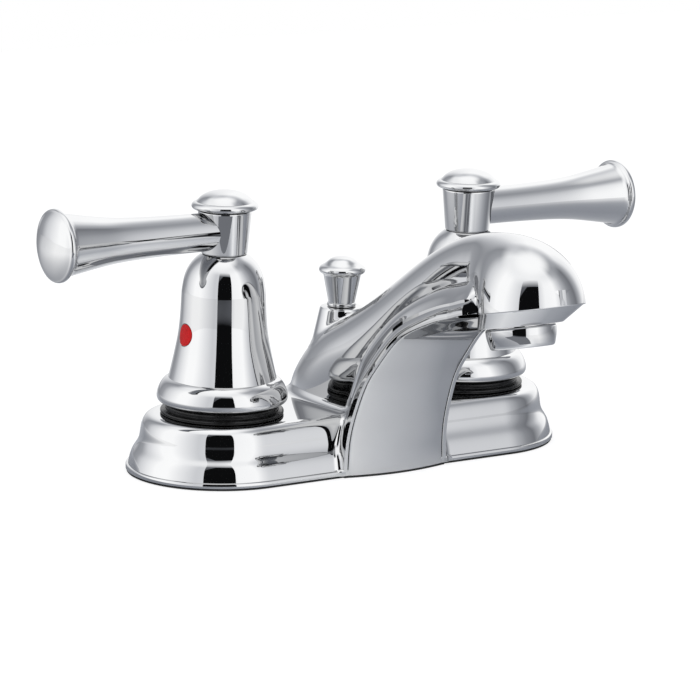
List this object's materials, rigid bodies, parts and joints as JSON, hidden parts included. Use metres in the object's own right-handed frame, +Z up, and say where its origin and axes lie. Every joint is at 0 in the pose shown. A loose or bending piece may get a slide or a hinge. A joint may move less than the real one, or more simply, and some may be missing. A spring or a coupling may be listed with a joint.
{
  "type": "centerset bathroom faucet",
  "caption": "Two-handle centerset basin faucet: arched cast spout on a long oval base, bell handles with flared levers, pop-up lift rod, valves and deck fixings.",
  "frame": {"origin": "underside of the base gasket where it lies on the deck, midway between the two handle axes", "axes": "+Z up off the deck, +X from the hot handle to the cold handle, -Y towards the user, the way the spout points"},
  "size_m": [0.2404, 0.1573, 0.2176],
  "materials": {
    "chrome": "polished",
    "brass": "machined",
    "copper": "drawn tube",
    "stainless_steel": "bright drawn",
    "black_rubber": "matte",
    "black_plastic": "satin",
    "white_plastic": "satin",
    "hot_red": "gloss",
    "cold_blue": "gloss"
  },
  "bodies": {
    "faucet_body": {"spout_body": "chrome", "arch_panel": "chrome", "base_gasket": "black_rubber", "waterway_manifold": "brass", "spout_tube": "copper", "outlet_socket": "brass", "aerator_washer": "black_rubber", "aerator_housing": "chrome", "aerator_insert": "white_plastic", "valve_body_hot": "brass", "retaining_ring_hot": "black_plastic", "cartridge_hot": "white_plastic", "bonnet_nut_hot": "brass", "mounting_washer_hot": "black_plastic", "mounting_nut_hot": "brass", "valve_body_cold": "brass", "retaining_ring_cold": "black_plastic", "cartridge_cold": "white_plastic", "bonnet_nut_cold": "brass", "mounting_washer_cold": "black_plastic", "mounting_nut_cold": "brass"},
    "lift_rod": {"lift_rod": "stainless_steel", "lift_knob": "chrome"},
    "hot_handle": {"handle_bell_hot": "chrome", "handle_hub_hot": "chrome", "neck_cap_hot": "chrome", "lever_hot": "chrome", "index_button_hot": "hot_red", "set_screw_hot": "stainless_steel", "valve_stem_hot": "brass"},
    "cold_handle": {"handle_bell_cold": "chrome", "handle_hub_cold": "chrome", "neck_cap_cold": "chrome", "lever_cold": "chrome", "index_button_cold": "cold_blue", "set_screw_cold": "stainless_steel", "valve_stem_cold": "brass"}
  },
  "joints": [
    {"name": "hot_turn", "type": "hinge", "parent": "faucet_body", "child": "hot_handle", "pos_m": [-0.0508, 0, 0], "axis": [0, 0, 1], "range_deg": [0, 90]},
    {"name": "cold_turn", "type": "hinge", "parent": "faucet_body", "child": "cold_handle", "pos_m": [0.0508, 0, 0], "axis": [0, 0, -1], "range_deg": [0, 90]},
    {"name": "rod_lift", "type": "slide", "parent": "faucet_body", "child": "lift_rod", "axis": [0, 0, 1], "range_m": [0, 0.03]}
  ]
}
